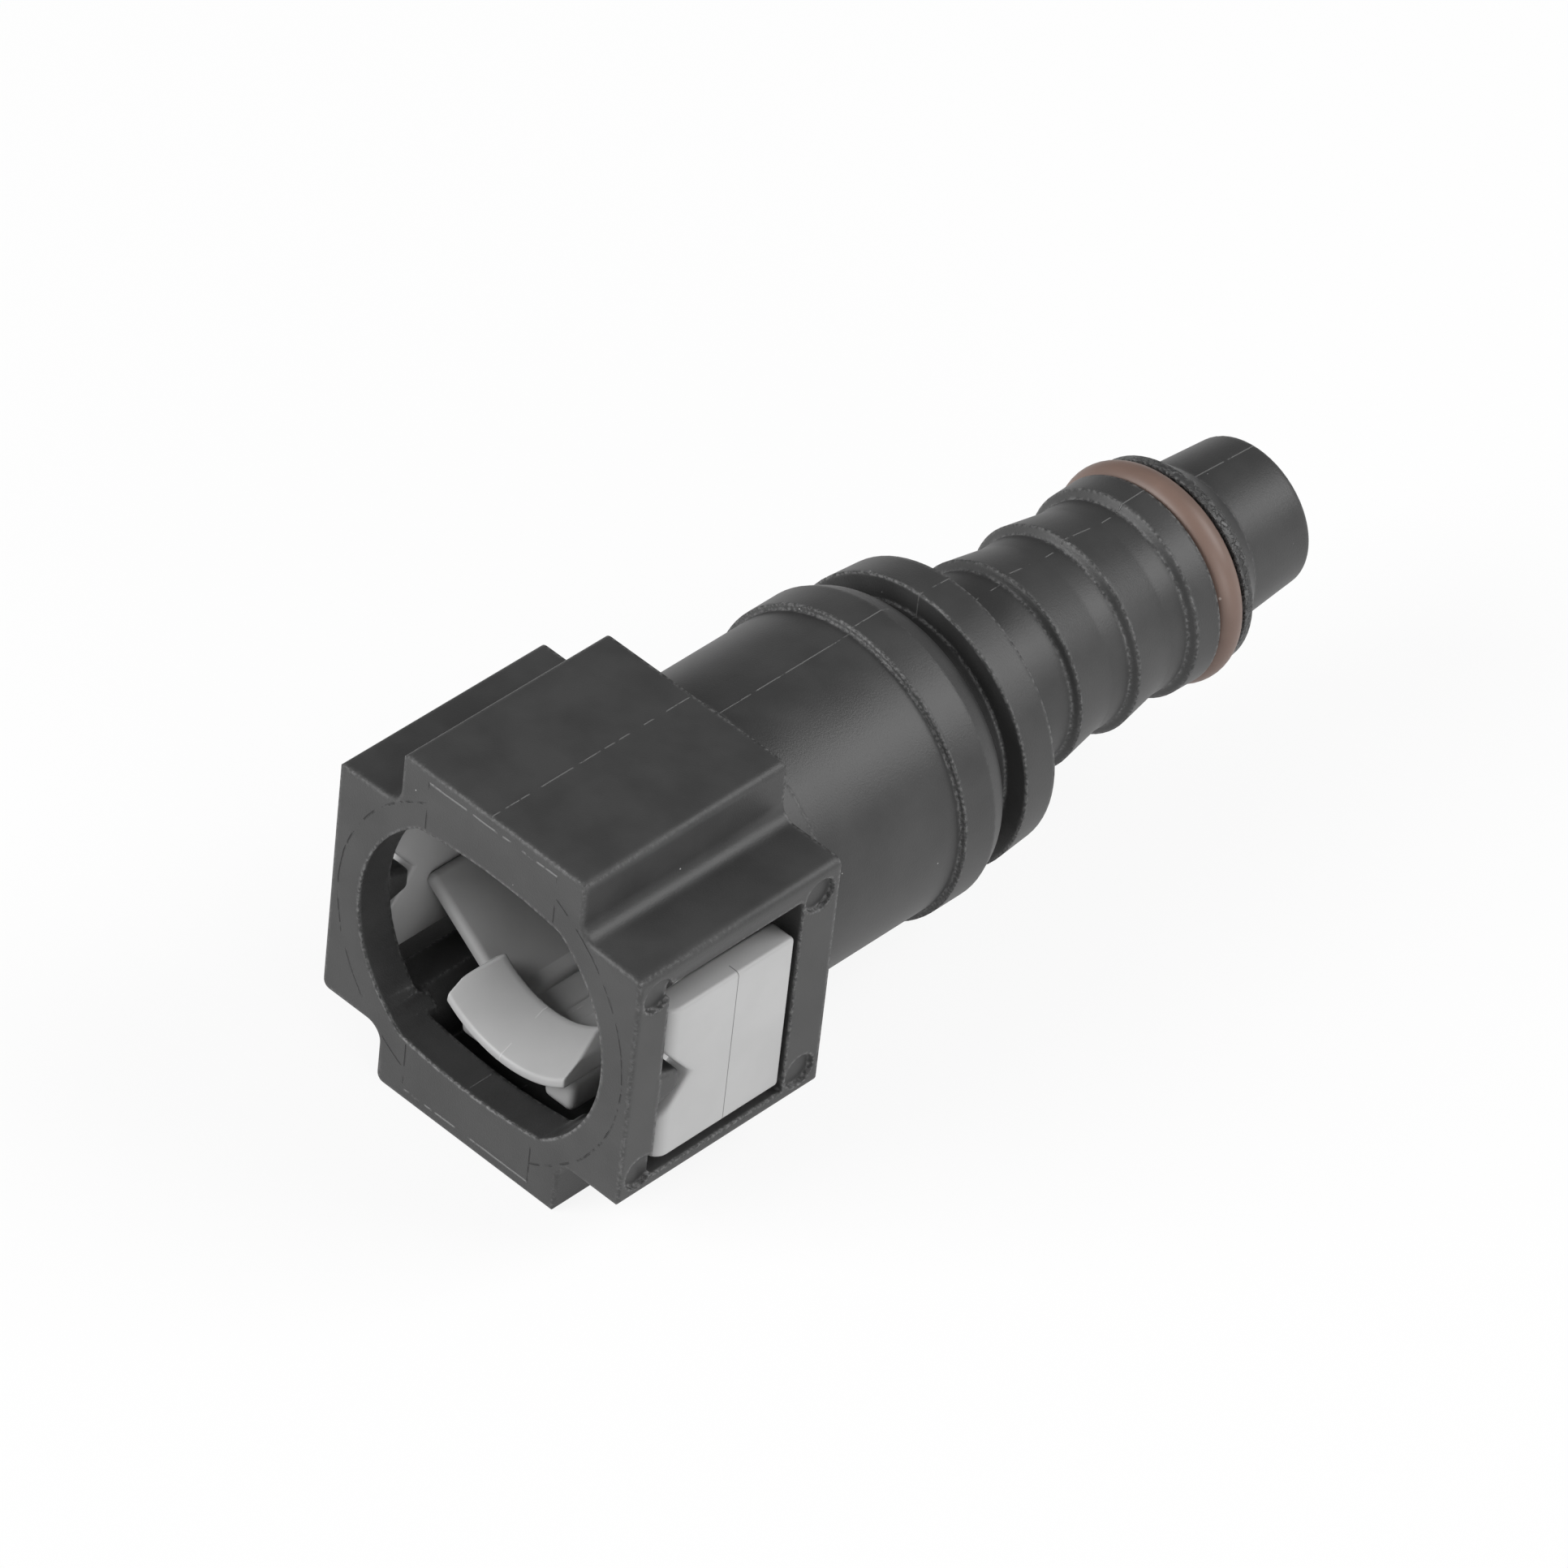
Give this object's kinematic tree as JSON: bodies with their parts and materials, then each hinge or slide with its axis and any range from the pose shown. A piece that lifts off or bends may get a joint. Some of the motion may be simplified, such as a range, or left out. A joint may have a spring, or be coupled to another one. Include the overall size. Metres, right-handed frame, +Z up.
{
  "type": "plastic quick disconnect coupling",
  "caption": "Push-on tube coupling in moulded plastic with a cross-shaped head, side release buttons, a locking clip and a barbed hose stem with a sealing ring.",
  "frame": {"origin": "on the bore axis where the seal retainer's straight bore begins", "axes": "+Y along the bore from the mouth to the hose stem's tip, +X out of the right release button seen from the mouth, +Z up"},
  "size_m": [0.018, 0.0481, 0.0186],
  "materials": {
    "housing": "satin",
    "clip": "satin",
    "stem_ring": "satin",
    "seal_ring": "satin",
    "retainer": "matte"
  },
  "bodies": {
    "housing": {"housing": "housing", "seal_retainer": "retainer", "front_seal_ring": "seal_ring", "seal_spacer": "retainer", "rear_seal_ring": "seal_ring", "stem_ring": "stem_ring"},
    "button_right": {"release_button_right": "clip"},
    "button_left": {"release_button_left": "clip"},
    "pad_lower": {"lock_pad_bottom": "clip"},
    "pad_upper": {"lock_pad_top": "clip"},
    "arm_lower_right": {"spring_arm_lower_right": "clip"},
    "arm_lower_left": {"spring_arm_lower_left": "clip"},
    "arm_upper_right": {"spring_arm_upper_right": "clip"},
    "arm_upper_left": {"spring_arm_upper_left": "clip"}
  },
  "joints": [
    {"name": "right_button_press", "type": "slide", "parent": "housing", "child": "button_right", "axis": [-1, 0, 0], "range_m": [0, 0.0015], "stiffness_N_per_m": 4000},
    {"name": "left_button_press", "type": "slide", "parent": "housing", "child": "button_left", "axis": [1, 0, 0], "range_m": [0, 0.0015]},
    {"name": "lower_pad_release", "type": "slide", "parent": "housing", "child": "pad_lower", "axis": [0, 0, -1], "range_m": [0, 0.0013]},
    {"name": "upper_pad_release", "type": "slide", "parent": "housing", "child": "pad_upper", "axis": [0, 0, 1], "range_m": [0, 0.0013]},
    {"name": "arm_lower_right_flex", "type": "hinge", "parent": "pad_lower", "child": "arm_lower_right", "pos_m": [0.00377, -0.00332, -0.0047], "axis": [0, -1, 0], "range_deg": [0, 26.78]},
    {"name": "arm_lower_left_flex", "type": "hinge", "parent": "pad_lower", "child": "arm_lower_left", "pos_m": [-0.00377, -0.00332, -0.0047], "axis": [0, 1, 0], "range_deg": [0, 26.78]},
    {"name": "arm_upper_right_flex", "type": "hinge", "parent": "pad_upper", "child": "arm_upper_right", "pos_m": [0.00377, -0.00332, 0.0047], "axis": [0, 1, 0], "range_deg": [0, 26.78]},
    {"name": "arm_upper_left_flex", "type": "hinge", "parent": "pad_upper", "child": "arm_upper_left", "pos_m": [-0.00377, -0.00332, 0.0047], "axis": [0, -1, 0], "range_deg": [0, 26.78]}
  ],
  "couplings": [
    {"joint": "left_button_press", "follows": "right_button_press", "ratio": 1},
    {"joint": "lower_pad_release", "follows": "right_button_press", "ratio": 0.8666},
    {"joint": "upper_pad_release", "follows": "right_button_press", "ratio": 0.8666},
    {"joint": "arm_lower_right_flex", "follows": "right_button_press", "rad_per_m": 311.59},
    {"joint": "arm_lower_left_flex", "follows": "right_button_press", "rad_per_m": 311.59},
    {"joint": "arm_upper_right_flex", "follows": "right_button_press", "rad_per_m": 311.59},
    {"joint": "arm_upper_left_flex", "follows": "right_button_press", "rad_per_m": 311.59}
  ]
}
